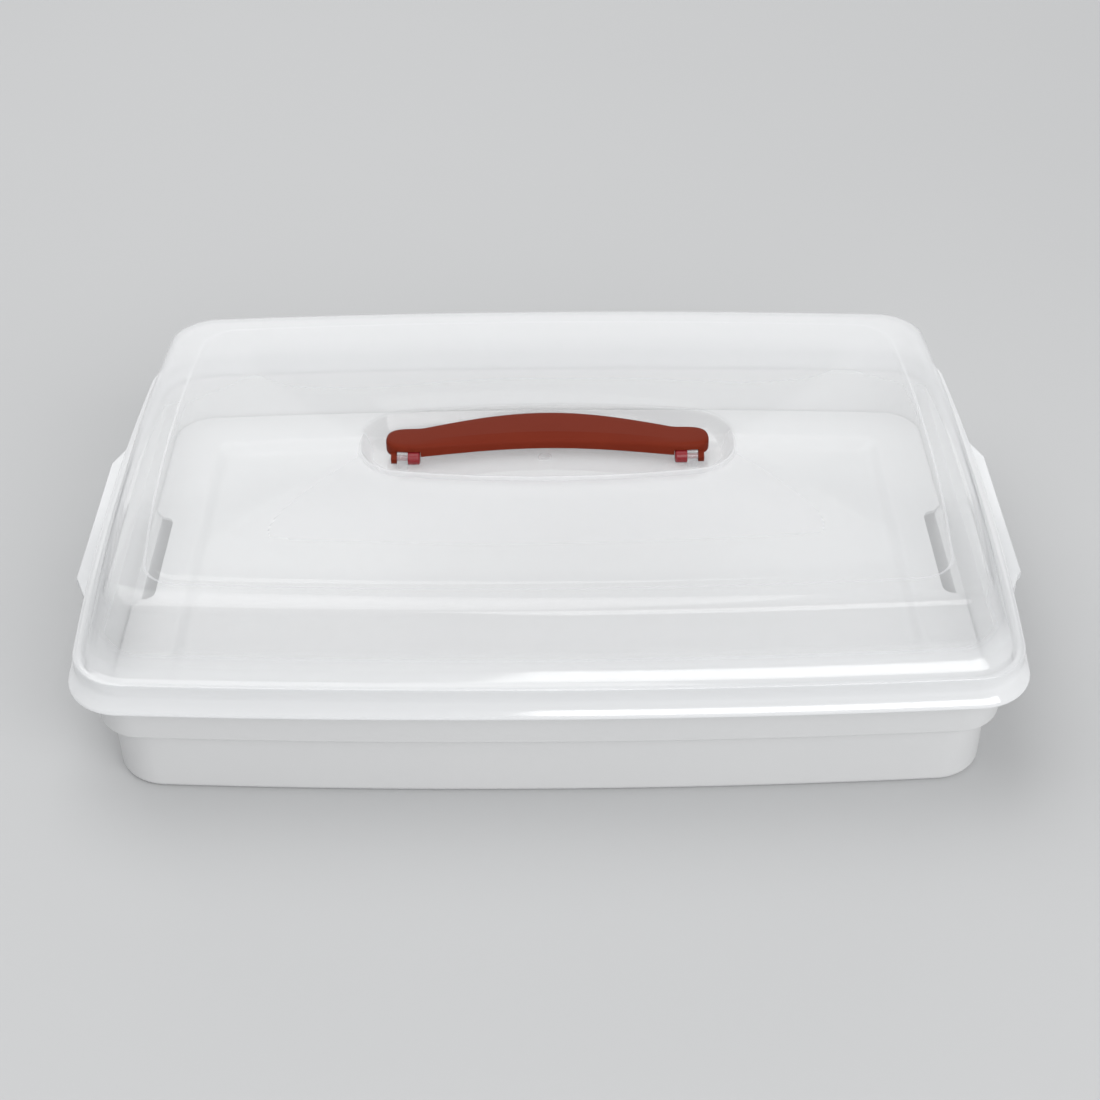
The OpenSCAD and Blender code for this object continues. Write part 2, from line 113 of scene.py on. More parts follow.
def outline(half_x, half_y, bow_x, bow_y, corner):
    """Plan points in mm, anticlockwise. Half sizes are taken at the middle of each side."""
    a, b = half_x - bow_x, half_y - bow_y
    r = min(corner, b - 1)
    corners = [quarter(a - r, b - r, r, 0), quarter(r - a, b - r, r, pi / 2),
               quarter(r - a, r - b, r, pi), quarter(a - r, r - b, r, 1.5 * pi)]
    steps = [LONG_STEPS, SHORT_STEPS, LONG_STEPS, SHORT_STEPS]
    plan = []
    for i, arc in enumerate(corners):
        plan += arc + between(arc[-1], corners[(i + 1) % 4][0], steps[i])
    return [(x * (1 + bow_x / a * (1 - (y / b) ** 2)), y * (1 + bow_y / b * (1 - (x / a) ** 2)))
            for x, y in plan]


def level(plan, z):
    return [(x, y, z) for x, y in plan]


print("points in one outline:", len(outline(100, 80, 2, 3, 20)))

# %% [markdown]
# A moulded edge is never sharp. Each profile is therefore drawn with plain corners first, and one
# helper then rounds them all, so that every edge catches a thin line of light.

# %% Soften the corners of a profile
# No round takes more than this share of an edge, so the rounds at its two ends never meet.
EDGE_SHARE = 0.45


def soften(profile, reach=0.8, steps=3):
    """Rounds each inner corner of a list of (inset, height) points. A third value in a point is
    its own reach, the distance from the corner at which the round starts."""
    points = [p if len(p) == 3 else (p[0], p[1], reach) for p in profile]
    rounded = [points[0][:2]]
    for before, here, after in zip(points, points[1:], points[2:]):
        d_in = hypot(here[0] - before[0], here[1] - before[1])
        d_out = hypot(after[0] - here[0], after[1] - here[1])
        if here[2] <= 0:
            rounded.append(here[:2])
            continue
        cut_in, cut_out = [min(here[2], EDGE_SHARE * d) / d for d in (d_in, d_out)]
        start = [here[k] + (before[k] - here[k]) * cut_in for k in (0, 1)]
        end = [here[k] + (after[k] - here[k]) * cut_out for k in (0, 1)]
        for i in range(steps + 1):
            t = i / steps
            rounded.append(tuple((1 - t) ** 2 * start[k] + 2 * t * (1 - t) * here[k]
                                 + t * t * end[k] for k in (0, 1)))
    return rounded + [points[-1][:2]]


print("a softened corner has", len(soften([(0, 0), (4, 0), (4, 4)])), "points")

# %% [markdown]
# These helpers turn points into pieces. One lofts a skin through rings and one spins a profile
# about an axis. Parts are put together as one mesh, and whole pieces are cut or welded.

# %% Turn stacks of rings into meshes
SHARP_ANGLE = 35


def mesh_piece(name, verts, faces, smooth_angle=SHARP_ANGLE):
    """A Blender object from points in mm. Edges sharper than the angle stay crisp."""
    mesh = bpy.data.meshes.new(name)
    mesh.from_pydata([Vector(v) * MM for v in verts], [], faces)
    bm = bmesh.new()
    bm.from_mesh(mesh)
    bmesh.ops.recalc_face_normals(bm, faces=bm.faces)
    bm.to_mesh(mesh)
    bm.free()
    mesh.shade_smooth()
    mesh.set_sharp_from_angle(angle=radians(smooth_angle))
    piece = bpy.data.objects.new(name, mesh)
    bpy.context.scene.collection.objects.link(piece)
    return piece


def loft(rings, bands=False):
    """Vertices and faces of a skin through rings of equal length. The ends are closed by fans, or
    by bands that join each point to the one across, which suits a ring that bends like a bow."""
    n = len(rings[0])
    verts = [p for ring in rings for p in ring]
    faces = [(i * n + j, i * n + (j + 1) % n, (i + 1) * n + (j + 1) % n, (i + 1) * n + j)
             for i in range(len(rings) - 1) for j in range(n)]
    for at, ring in ((0, rings[0]), ((len(rings) - 1) * n, rings[-1])):
        if bands:
            quads = [(at + j, at + j + 1, at + n - j - 1, at + (n - j) % n)
                     for j in range(1, n // 2 - 1)]
            faces += quads + [(at, at + 1, at + n - 1), (at + n // 2 - 1, at + n // 2, at + n // 2 + 1)]
        else:
            hub = len(verts)
            verts.append(tuple(sum(p[k] for p in ring) / n for k in range(3)))
            faces += [(hub, at + j, at + (j + 1) % n) for j in range(n)]
    return verts, faces


def joined(*parts):
    """Several (vertices, faces) pairs as one."""
    verts, faces = [], []
    for v, f in parts:
        faces += [tuple(i + len(verts) for i in face) for face in f]
        verts += v
    return verts, faces


def turned(profile, centre, axis, steps=40):
    """A solid of revolution: profile is (distance along the axis, radius), in mm."""
    def point(along, radius, turn):
        u, v = radius * cos(turn), radius * sin(turn)
        offset = (along, u, v) if axis == "X" else (u, along, v) if axis == "Y" else (u, v, along)
        return tuple(c + o for c, o in zip(centre, offset))
    return loft([[point(along, radius, 2 * pi * i / steps) for i in range(steps)]
                 for along, radius in profile])


def combine(piece, tools, operation):
    """Cuts the tools from the piece, or welds them to it, and removes the tools."""
    for tool in tools:
        change = piece.modifiers.new(tool.name, "BOOLEAN")
        change.operation, change.object, change.solver = operation, tool, "EXACT"
    bpy.context.view_layer.update()
    evaluated = piece.evaluated_get(bpy.context.evaluated_depsgraph_get())
    result = bpy.data.meshes.new_from_object(evaluated)
    piece.modifiers.clear()
    piece.data = result
    result.shade_smooth()
    result.set_sharp_from_angle(angle=radians(SHARP_ANGLE))
    for tool in tools:
        bpy.data.objects.remove(tool)
    return piece


print("mesh helpers ready")


# %% [markdown]
# ## Moulded plastic
# Nothing on the carrier is perfectly even: moulded plastic has faint flow clouds in its colour,
# a slightly uneven gloss and a very shallow texture. One node group makes all three, and every
# material uses it with its own values. It gives only a colour, a roughness and a height, so each
# material keeps its own shader.

# %% Node group for moulded plastic
def group_socket(tree, name, kind, value=None, out=False):
    socket = tree.interface.new_socket(name=name, in_out="OUTPUT" if out else "INPUT",
                                       socket_type=kind)
    if value is not None:
        socket.default_value = value


def moulded_group():
    tree = bpy.data.node_groups.new("moulded_plastic", "ShaderNodeTree")
    for name, kind, value in (("Colour", "NodeSocketColor", (0.8, 0.8, 0.8, 1)),
                              ("Cloud Colour", "NodeSocketColor", (0.7, 0.7, 0.7, 1)),
                              ("Cloud Size", "NodeSocketFloat", 12.0),
                              ("Grain Size", "NodeSocketFloat", 900.0),
                              ("Gloss", "NodeSocketFloat", 0.25),
                              ("Gloss Spread", "NodeSocketFloat", 0.08)):
        group_socket(tree, name, kind, value)
    for name, kind in (("Colour", "NodeSocketColor"), ("Roughness", "NodeSocketFloat"),
                       ("Height", "NodeSocketFloat")):
        group_socket(tree, name, kind, out=True)
    nodes, link = tree.nodes, tree.links.new
    enter, leave = nodes.new("NodeGroupInput"), nodes.new("NodeGroupOutput")
    place = nodes.new("ShaderNodeTexCoord")
    cloud, grain, sheen = [nodes.new("ShaderNodeTexNoise") for _ in range(3)]
    cloud.inputs["Detail"].default_value = 3
    grain.inputs["Detail"].default_value = 2
    sheen.inputs["Detail"].default_value = 4
    for noise, size in ((cloud, "Cloud Size"), (grain, "Grain Size"), (sheen, "Cloud Size")):
        link(place.outputs["Object"], noise.inputs["Vector"])
        link(enter.outputs[size], noise.inputs["Scale"])
    sheen.inputs["Distortion"].default_value = 1.5
    mix = nodes.new("ShaderNodeMix")
    mix.data_type = "RGBA"
    link(cloud.outputs["Fac"], mix.inputs["Factor"])
    link(enter.outputs["Colour"], mix.inputs["A"])
    link(enter.outputs["Cloud Colour"], mix.inputs["B"])
    spread = nodes.new("ShaderNodeMath")
    spread.operation = "MULTIPLY_ADD"
    link(sheen.outputs["Fac"], spread.inputs[0])
    link(enter.outputs["Gloss Spread"], spread.inputs[1])
    link(enter.outputs["Gloss"], spread.inputs[2])
    link(mix.outputs["Result"], leave.inputs["Colour"])
    link(spread.outputs[0], leave.inputs["Roughness"])
    link(grain.outputs["Fac"], leave.inputs["Height"])
    return tree


MOULDED = moulded_group()
print("group sockets:", [s.name for s in MOULDED.interface.items_tree])

# %% [markdown]
# A plastic takes its colour, gloss and texture from the group and keeps everything else on its own
# shader. Clear plastic also lets the background through. Seen edge on, it looks denser, because
# light crosses more of it, and low on the lid it is milkier.

# %% A plastic from the group and its own shader
GRAIN_STEP = 0.2


def plastic(name, values, shader_values, grain_depth=0.02):
    """A material whose colour, roughness and bump come from the moulded plastic group."""
    material = bpy.data.materials.new(name)
    material.use_nodes = True
    nodes, link = material.node_tree.nodes, material.node_tree.links.new
    shader = nodes["Principled BSDF"]
    moulded = nodes.new("ShaderNodeGroup")
    moulded.node_tree = MOULDED
    for socket, value in values.items():
        moulded.inputs[socket].default_value = value
    for socket, value in shader_values.items():
        shader.inputs[socket].default_value = value
    bump = nodes.new("ShaderNodeBump")
    bump.inputs["Strength"].default_value = grain_depth
    bump.inputs["Distance"].default_value = GRAIN_STEP * MM
    link(moulded.outputs["Colour"], shader.inputs["Base Color"])
    link(moulded.outputs["Roughness"], shader.inputs["Roughness"])
    link(moulded.outputs["Height"], bump.inputs["Height"])
    link(bump.outputs["Normal"], shader.inputs["Normal"])
    return material


def see_through(material, face_on, edge_on, milky, milky_from, milky_to):
    """Lets the background through: less at a grazing view, where light crosses more plastic.
    The milky share is added at the lower height and fades out at the upper one, in mm."""
    nodes, link = material.node_tree.nodes, material.node_tree.links.new
    tilt = nodes.new("ShaderNodeLayerWeight")
    tilt.inputs["Blend"].default_value = 0.35
    span = nodes.new("ShaderNodeMapRange")
    span.inputs["To Min"].default_value = face_on
    span.inputs["To Max"].default_value = edge_on
    link(tilt.outputs["Facing"], span.inputs["Value"])
    place = nodes.new("ShaderNodeTexCoord")
    height = nodes.new("ShaderNodeSeparateXYZ")
    link(place.outputs["Object"], height.inputs["Vector"])
    fade = nodes.new("ShaderNodeMapRange")
    fade.inputs["From Min"].default_value = milky_from * MM
    fade.inputs["From Max"].default_value = milky_to * MM
    fade.inputs["To Min"].default_value = milky
    fade.inputs["To Max"].default_value = 0.0
    link(height.outputs["Z"], fade.inputs["Value"])
    total = nodes.new("ShaderNodeMath")
    total.operation, total.use_clamp = "ADD", True
    link(span.outputs["Result"], total.inputs[0])
    link(fade.outputs["Result"], total.inputs[1])
    link(total.outputs["Value"], nodes["Principled BSDF"].inputs["Alpha"])


# The lid and the latches are made from one clear plastic, so they share its colours.
CLEAR = {"Colour": (0.915, 0.925, 0.935, 1), "Cloud Colour": (0.88, 0.89, 0.905, 1)}
print("material helpers ready")

# %% [markdown]
# A finished piece rides on the body that moves it, so that it follows every pose, and stands in
# for the plain solid of the same part.

# %% Put a finished piece on its body
def settle(piece, node, material, body):
    """Gives a piece its finish, lets it ride on its body and hides the plain solid it stands for."""
    piece.data.materials.clear()
    piece.data.materials.append(material)
    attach(piece, body)
    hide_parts(node)
    print(piece.name, "faces:", len(piece.data.polygons))


# %% [markdown]
# ## The tub
# The tub is one moulding: a base with a rounded foot, a lower wall, a step outwards, an upper
# wall and a small flange that the lid sits on. Inside, the step is a ledge. Its section is drawn
# once, from the middle of the underside round to the middle of the floor, and lofted.

# %% Section of the tub
TUB_CORNER, LOWER_CORNER, TUB_CORNER_RATE, SMALLEST_CORNER = 21.0, 23.0, 0.7, 4.0
FLOOR_INSET, FOOT_STEPS = 40.0, 8


def tub_ring(inset, z):
    if inset < STEP_WIDTH / 2:
        corner = TUB_CORNER - TUB_CORNER_RATE * inset
    else:
        corner = LOWER_CORNER - TUB_CORNER_RATE * (inset - STEP_WIDTH)
    corner = max(corner, SMALLEST_CORNER)
    return level(outline(tub_half_x - inset, tub_half_y - inset, 0, LONG_BOW, corner), z)


lower, inner = STEP_WIDTH, STEP_WIDTH + WALL
foot_in = FOOT_RADIUS - WALL
quarter_turn = [radians(90 / FOOT_STEPS * i) for i in range(FOOT_STEPS + 1)]
foot_outside = [(lower + FOOT_RADIUS * (1 - sin(t)), FOOT_RADIUS * (1 - cos(t)))
                for t in quarter_turn]
foot_inside = [(inner + foot_in * (1 - sin(t)), WALL + foot_in * (1 - cos(t)))
               for t in reversed(quarter_turn)]
tub_wall = soften([
    foot_outside[-1], (lower, step_z, 0.7), (0, step_z, 0.7), (0, tub_top - WALL, 0.8),
    (-RIM_FLANGE, tub_top - WALL, 0.5), (-RIM_FLANGE, tub_top, 0.5), (WALL, tub_top, 0.7),
    (WALL, ledge_z, 0.5), (inner, ledge_z, 0.8), foot_inside[0]])
tub_section = [(FLOOR_INSET, 0)] + foot_outside[:-1] + tub_wall + foot_inside[1:]
tub_section.append((FLOOR_INSET, WALL))
tub_skin = loft([tub_ring(*p) for p in tub_section])
print("rings in the tub's skin:", len(tub_section))

# %% [markdown]
# A rib on each short side of the tub takes the latch's hook. Four small webs brace it from below.
# They are plain extruded sections, joined to the tub's mesh, as they would be in the mould.

# %% Section of a catch rib
CATCH_INSET, CATCH_HALF, CATCH_THICK, CATCH_BEVEL = 3.5, 35.0, 2.4, 0.6
HOOK_RISE, HOOK_GAP = 6, 0.4
WEB_HALF, WEB_END, WEB_SHORT, WEB_FOOT = 1, 2, 1.5, 2
# Rib and webs reach this far into the wall, and the webs this far into the rib, so that they join.
ROOT, OVERLAP = 1, 0.2
catch_out = lid_half_x - CATCH_INSET
hook_top = latch_low.z + HOOK_RISE
catch_z = hook_top + HOOK_GAP


def extruded(section, y0, y1):
    """A section of (x, z) points swept along Y."""
    return loft([[(x, y, z) for x, z in section] for y in (y0, y1)])


def catch_rib(side):
    r, root, top = CATCH_BEVEL, tub_half_x - ROOT, catch_z + CATCH_THICK
    rib = [(side * x, z) for x, z in (
        (root, catch_z), (catch_out - r, catch_z), (catch_out, catch_z + r),
        (catch_out, top - r), (catch_out - r, top), (root, top))]
    web = [(side * x, z) for x, z in (
        (root, catch_z + OVERLAP), (catch_out - WEB_SHORT, catch_z + OVERLAP),
        (root, step_z + WEB_FOOT))]
    webs = [extruded(web, y - WEB_HALF, y + WEB_HALF)
            for y in (k * (CATCH_HALF - WEB_END) for k in (-1, -1 / 3, 1 / 3, 1))]
    return joined(extruded(rib, -CATCH_HALF, CATCH_HALF), *webs)


print("catch rib from", round(catch_z, 2), "to", round(catch_z + CATCH_THICK, 2))

# %% [markdown]
# The tub is an opaque, pale grey plastic with a satin gloss. It is a little darker than the insert,
# which is what sets the two apart when the tub is seen through the lid.

# %% Build the tub
tub_plastic = plastic("tub_plastic", {
    "Colour": (0.685, 0.687, 0.69, 1), "Cloud Colour": (0.65, 0.655, 0.66, 1),
    "Cloud Size": 9.0, "Gloss": 0.34, "Gloss Spread": 0.1}, {"IOR": 1.48})
tub = mesh_piece("tub", *joined(tub_skin, catch_rib(-1), catch_rib(1)))
settle(tub, "base_tub", tub_plastic, "tub")


# %% [markdown]
# ## The lifting insert
# A white plate lies on the ledge. Its middle is sunk, and a notch in each short edge lets a finger
# in to lift it. The plate is lofted like the tub, and a rounded block cuts the two notches.

# %% Skin of the insert
BORDER, SINK, FIELD_INSET = 25.0, 6.0, 60.0
INSERT_CORNER_RATE, FIELD_CORNER = 0.5, 6.0


def insert_ring(inset, z):
    corner = max(TUB_CORNER - WALL - INSERT_GAP - INSERT_CORNER_RATE * inset, FIELD_CORNER)
    return level(outline(insert_high.x - inset, insert_high.y - inset, 0, LONG_BOW, corner), z)


top, under = insert_high.z, insert_high.z - INSERT_SHEET
field = top - SINK
insert_section = soften([
    (FIELD_INSET, field - INSERT_SHEET), (BORDER + 4, field - INSERT_SHEET, 2.5),
    (BORDER - 1, under, 1.5), (0, under, 0.4), (0, top, 0.5), (BORDER, top, 2.5),
    (BORDER + 5, field, 3), (FIELD_INSET, field)], steps=4)
insert = mesh_piece("insert", *loft([insert_ring(*p) for p in insert_section]))
print("insert from", round(under, 2), "to", round(top, 2))

# %% [markdown]
# The notch is a plan outline with an arc at each inner corner, mirrored for the other short side.
# It is lofted into a block a little taller than the plate, because a cut that ends exactly on a
# face can leave a thin film behind.

# %% Cut the notches and finish the insert
NOTCH_DEPTH, NOTCH_HALF, NOTCH_CORNER, NOTCH_SLOPE, NOTCH_STEPS = 10.0, 42.0, 6.0, 0.7, 6
PAST = 2


def notch_plan(side):
    """Outline of a notch: wide at the plate's edge, with round inner corners."""
    half = NOTCH_HALF - NOTCH_SLOPE * NOTCH_DEPTH
    back = insert_high.x - NOTCH_DEPTH
    plan = [(insert_high.x + 1, NOTCH_HALF)]
    for sign in (1, -1):
        arc = [(back + NOTCH_CORNER * (1 - cos(t)), sign * (half - NOTCH_CORNER * (1 - sin(t))))
               for t in (radians(90 / NOTCH_STEPS * i) for i in range(NOTCH_STEPS + 1))]
        plan += arc[::-1] if sign > 0 else arc
    plan.append((insert_high.x + 1, -NOTCH_HALF))
    return [(side * x, y) for x, y in plan]


cutters = [mesh_piece("notch_cutter", *loft([level(notch_plan(side), z)
                                             for z in (under - PAST, top + PAST)]))
           for side in (-1, 1)]
insert = combine(insert, cutters, "DIFFERENCE")
insert_plastic = plastic("insert_plastic", {
    "Colour": (0.79, 0.79, 0.79, 1), "Cloud Colour": (0.75, 0.755, 0.76, 1),
    "Cloud Size": 7.0, "Gloss": 0.3, "Gloss Spread": 0.1}, {"IOR": 1.48})
settle(insert, "lifting_insert", insert_plastic, "insert")


# %% [markdown]
# ## The lid
# The lid is a thin dome: a flared lip, a short skirt over the tub's flange, a shelf, a leaning
# wall and a flat top panel with a recess for the handle. A rib below the shelf rests on the
# tub's rim. The section runs from the middle of the recess's underside, down the inside of the
# wall, round the lip, up the outside and back into the recess, so the wall has a real thickness.
# That matters here: light crosses an outer and an inner face, as it does in the clear plastic.

# %% Rings of the lid and of its recess
LID_CORNER, LID_CORNER_RATE, PANEL_CORNER = 24.0, 0.3, 8
SHELF_RISE, CREASE_RISE = 9.6, 5.4
SHOULDER_DROP, CROWN_DROP, PANEL_DROP, RECESS_DEPTH = 13, 1.4, 0.6, 10.0
FOOT_INSET, CREASE_INSET, WALL_INSET, CROWN_INSET, PANEL_INSET = 7.4, 10, 15.6, 24.5, 34.0
SIDE_LEAN = 0.2
RECESS_HALF_X, RECESS_HALF_Y, RECESS_BOW = 92.5, 31.5, 9.0
RECESS_CORNER, FLOOR_CORNER = 18.0, 6
shelf_z = tub_top + SHELF_RISE
crease_z = shelf_z + CREASE_RISE
wall_top = lid_top - SHOULDER_DROP
crown_z = lid_top - CROWN_DROP
panel_z = lid_top - PANEL_DROP
recess_floor = lid_top - RECESS_DEPTH


def lid_ring(inset, z):
    """Above its foot, the wall leans in a little more at the short sides."""
    corner = max(LID_CORNER - LID_CORNER_RATE * inset, PANEL_CORNER)
    half_x = lid_half_x - inset - SIDE_LEAN * max(inset - FOOT_INSET, 0)
    return level(outline(half_x, lid_half_y - inset, SHORT_BOW, LONG_BOW, corner), z)


def recess_ring(inset, z):
    corner = max(RECESS_CORNER - inset, FLOOR_CORNER)
    return level(outline(RECESS_HALF_X - inset, RECESS_HALF_Y - inset, 0, RECESS_BOW, corner), z)


print("shelf at", round(shelf_z, 2), "recess floor at", round(recess_floor, 2))

# %% [markdown]
# The section is written as four runs of points: under the recess, the inside of the dome, its
# outside, and the recess seen from above. The two runs of the dome are softened together, so the
# lip where they meet is rounded too.

# %% Section of the lid's shell
skirt_in = LIP_FLARE + LID_WALL
seat = skirt_in + SKIRT_GAP
floor_under = recess_floor - LID_WALL
ceiling = panel_z - LID_WALL
recess_edge = (-1.4, ceiling)
dome_inside = [
    recess_edge, (PANEL_INSET, ceiling, 2), (CROWN_INSET, crown_z - LID_WALL, 2),
    (20.4, lid_top - 2.4 - LID_WALL, 2), (WALL_INSET + LID_WALL + 1.4, lid_top - 6.6, 2),
    (WALL_INSET + LID_WALL, wall_top, 4), (CREASE_INSET + LID_WALL, crease_z - 0.3, 1),
    (FOOT_INSET + LID_WALL, crease_z - 4.9, 1),
    (seat + 2.6, shelf_z - LID_WALL, 0.6), (seat + 2.4, tub_top, 0.3), (seat + 0.8, tub_top, 0.3),
    (seat + 0.6, shelf_z - LID_WALL, 0.2), (skirt_in, shelf_z - LID_WALL, 0.5),
    (skirt_in, lip_z + 7.8, 1.5), (LID_WALL + 1.9, lip_z + 4, 1.5), (LID_WALL, lip_z, 0.6)]
dome_outside = [
    (0, lip_z, 0.6), (0.1, lip_z + 1.6, 0.8), (2.0, lip_z + 4.8, 2.2), (LIP_FLARE, lip_z + 8.4, 2.2),
    (LIP_FLARE, shelf_z, 1.0), (LIP_FLARE + 1.8, shelf_z, 0.7), (FOOT_INSET, crease_z - 4.4, 0.5),
    (CREASE_INSET, crease_z, 0.7), (WALL_INSET, wall_top, 4), (17.2, lid_top - 5.2, 2.5),
    (19.6, lid_top - 2.5, 2), (CROWN_INSET, crown_z, 2), (PANEL_INSET, panel_z, 0.8),
    (PANEL_INSET + 2, panel_z + 0.4)]
recess_under = soften([(11, floor_under), (8.4, floor_under + 0.3, 2), (4.6, floor_under + 1.9, 2),
                       (1.2, floor_under + 5.9, 2), (-0.6, ceiling - 0.5, 0.6), recess_edge])
recess_over = soften([(-1.6, lid_top), (0.4, lid_top, 0.9), (2.8, recess_floor + 5.2, 2),
                      (5.6, recess_floor + 1.6, 2), (9.4, recess_floor, 3), (13, recess_floor)])
shell_rings = ([recess_ring(*p) for p in recess_under]
               + [lid_ring(*p) for p in soften(dome_inside + dome_outside)[1:]]
               + [recess_ring(*p) for p in recess_over])
lid_skin = loft(shell_rings)
print("rings in the lid's shell:", len(shell_rings))

# %% [markdown]
# Two lugs stand on the recess floor and carry the handle's pins, and an ear at each end of each
# latch carries its peg. Each is a section with a round nose, extruded and drilled. A faint raised
# ring on the recess floor is the mark that the moulding gate leaves.

# %% Lugs, ears and gate mark
HEAD_LENGTH, PIN_R, LUG_WIDTH, LUG_RING = 6.0, 1.6, 5.2, 1.7
BARREL_R, PEG_R, EAR, EAR_GAP, RUNNING_GAP = 2.0, 1.2, 3.4, 0.3, 0.05
HINGE_OUT, LATCH_HALF = 2.8, 46.0
COVER_GAP, COVER_THICK, COVER_TAPER = 0.3, 1.6, 22.0
ARC_STEPS = 16
pivot_y = (pin_low.y + pin_high.y) / 2
pivot_z = (pin_low.z + pin_high.z) / 2
head_in = pin_low.x
lug_in = head_in + HEAD_LENGTH
hinge_x = lid_half_x + HINGE_OUT
hinge_z = latch_high.z - BARREL_R
cover_root = lid_half_x - skirt_in
half_circle = [pi * i / ARC_STEPS for i in range(ARC_STEPS + 1)]


def nose(cx, cz, r, foot):
    """Half circle of (u, v) points about (cx, cz) that opens downwards, closed by a foot."""
    arc = [(cx + r * cos(t), cz + r * sin(t)) for t in half_circle]
    return arc + [(cx - r, foot), (cx + r, foot)]


def drilled(name, parts, bores):
    block = mesh_piece(name, *parts)
    return combine(block, [mesh_piece(name + "_bore", *bore) for bore in bores], "DIFFERENCE")


def handle_lug(side):
    section = nose(pivot_y, pivot_z, PIN_R + LUG_RING, recess_floor - LID_WALL / 2)
    x0, x1 = (lug_in, lug_in + LUG_WIDTH) if side > 0 else (-lug_in - LUG_WIDTH, -lug_in)
    body = loft([[(x, y, z) for y, z in section] for x in (x0, x1)])
    bore = turned([(x, PIN_R + RUNNING_GAP) for x in (x0 - 1, x1 + 1)], (0, pivot_y, pivot_z), "X")
    return drilled("handle_lug", body, [bore])


def latch_ear(side, end):
    y0 = end * (LATCH_HALF + EAR_GAP)
    y1 = y0 + end * EAR
    arc = [(hinge_x + BARREL_R * sin(t), hinge_z + BARREL_R * cos(t))
           for t in half_circle[ARC_STEPS // 2:]]
    top = hinge_z + BARREL_R + COVER_GAP + COVER_THICK / 2
    section = [(side * x, z) for x, z in [(cover_root, top), (hinge_x + BARREL_R, top)] + arc
               + [(cover_root, hinge_z - BARREL_R)]]
    bore = turned([(y, PEG_R + RUNNING_GAP) for y in (y0 - end, y1 + end)],
                  (side * hinge_x, 0, hinge_z), "Y")
    return drilled("latch_ear", extruded(section, y0, y1), [bore])


def latch_cover(side):
    """The shelf over a latch's hinge. Its ends run back to the lid's skirt at a slant."""
    near = LATCH_HALF + EAR_GAP + EAR
    edge = 0.35
    floor = hinge_z + BARREL_R + COVER_GAP

    def plan(shrink):
        out = hinge_x + BARREL_R - shrink
        half = near - 1 - shrink / 2
        corners = [(cover_root, -near - COVER_TAPER), (out, -half), (out, half),
                   (cover_root, near + COVER_TAPER)]
        return [(side * x, y) for x, y in corners]

    stack = [(edge, floor), (0, floor + edge), (0, floor + COVER_THICK - edge),
             (edge, floor + COVER_THICK)]
    return loft([level(plan(shrink), z) for shrink, z in stack])


fittings = [handle_lug(side) for side in (-1, 1)]
fittings += [latch_ear(side, end) for side in (-1, 1) for end in (-1, 1)]
gate_mark = turned([(0, 3.6), (0.25, 3.3), (0.25, 2.9), (0.05, 2.6)],
                   (-1.3, -0.8, recess_floor - 0.02), "Z")
print("fittings:", [f.name for f in fittings])

# %% [markdown]
# Shell, fittings and mark are one moulding in the real lid, so they become one mesh here. Glass
# shading would bend each ray at every face of the dome and take long. Letting a share of the
# background straight through is lighter to render and gives the same thin haze.

# %% Join the lid
def mesh_parts(piece):
    """Takes a piece apart into points in mm and faces, and removes it."""
    parts = ([tuple(v.co / MM) for v in piece.data.vertices],
             [tuple(p.vertices) for p in piece.data.polygons])
    bpy.data.objects.remove(piece)
    return parts


lid = mesh_piece("lid", *joined(lid_skin, gate_mark, latch_cover(-1), latch_cover(1),
                                *[mesh_parts(f) for f in fittings]), 40)
lid_plastic = plastic("lid_plastic", CLEAR | {
    "Cloud Size": 5.0, "Gloss": 0.06, "Gloss Spread": 0.05}, {"IOR": 2.1}, 0.01)
see_through(lid_plastic, 0.17, 0.58, milky=0.5, milky_from=lip_z + 8, milky_to=lip_z + 30)
settle(lid, "lid_cover", lid_plastic, "lid")


# %% [markdown]
# ## The handle
# The grip arches back between two straight pads with round ends. Its top edges are soft, and a
# wider slope along the front gives the long light line seen in the photograph. Underneath, the
# grip is hollow, and each pad has a round pocket that turns over the lid's lug and the pin's head.

# %% Outline of the handle
PAD_WIDTH, GRIP_WIDTH, ARCH, PAD_FRONT = 17.2, 23.8, 10.2, 7.0
END_SQUARENESS, END_ROUND = 24, 0.45
GRIP_GAP, BASE_RISE = 0.3, 0.5
SLOPE_DROP, SLOPE_RISE, SLOPE_INSET = 1.6, 3, 3.2
HANDLE_STEPS = 60
grip_half = head_in - GRIP_GAP


def rise(x):
    return cos(pi / 2 * min(abs(x) / grip_half, 1))


def handle_edge(k, inset, side):
    """A point on one long edge. The share k runs from -1 at the left end to 1 at the right."""
    x = (handle_high.x - inset) * k
    middle = PAD_WIDTH / 2 - PAD_FRONT + ARCH * rise(x)
    half = (PAD_WIDTH + (GRIP_WIDTH - PAD_WIDTH) * rise(x)) / 2 - inset
    return x, middle + side * half * max(1 - abs(k) ** END_SQUARENESS, 0) ** END_ROUND


def handle_ring(inset, z, front_slope=0.0):
    """The slope lowers the front edge of the ring towards the middle of the grip."""
    turn = [pi * i / HANDLE_STEPS - pi / 2 for i in range(HANDLE_STEPS + 1)]
    front = [handle_edge(sin(t), inset, -1) for t in turn]
    back = [handle_edge(sin(-t), inset, 1) for t in turn[1:-1]]
    ring = [(x, y, z - front_slope * rise(x)) for x, y in front]
    return ring + [(x, y, z) for x, y in back]


grip_base, grip_top = pivot_z + BASE_RISE, handle_high.z
handle_section = soften([(1.5, grip_base), (0, grip_base, 0.6), (0, grip_top, 2.4),
                         (6.5, grip_top, 1.2), (7.2, grip_top)], steps=5)
slopes = [SLOPE_DROP if z > grip_base + SLOPE_RISE and inset < SLOPE_INSET else 0
          for inset, z in handle_section]
handle_skin = loft([handle_ring(inset, z, s) for (inset, z), s in zip(handle_section, slopes)],
                   bands=True)
print("handle rings:", len(handle_section))

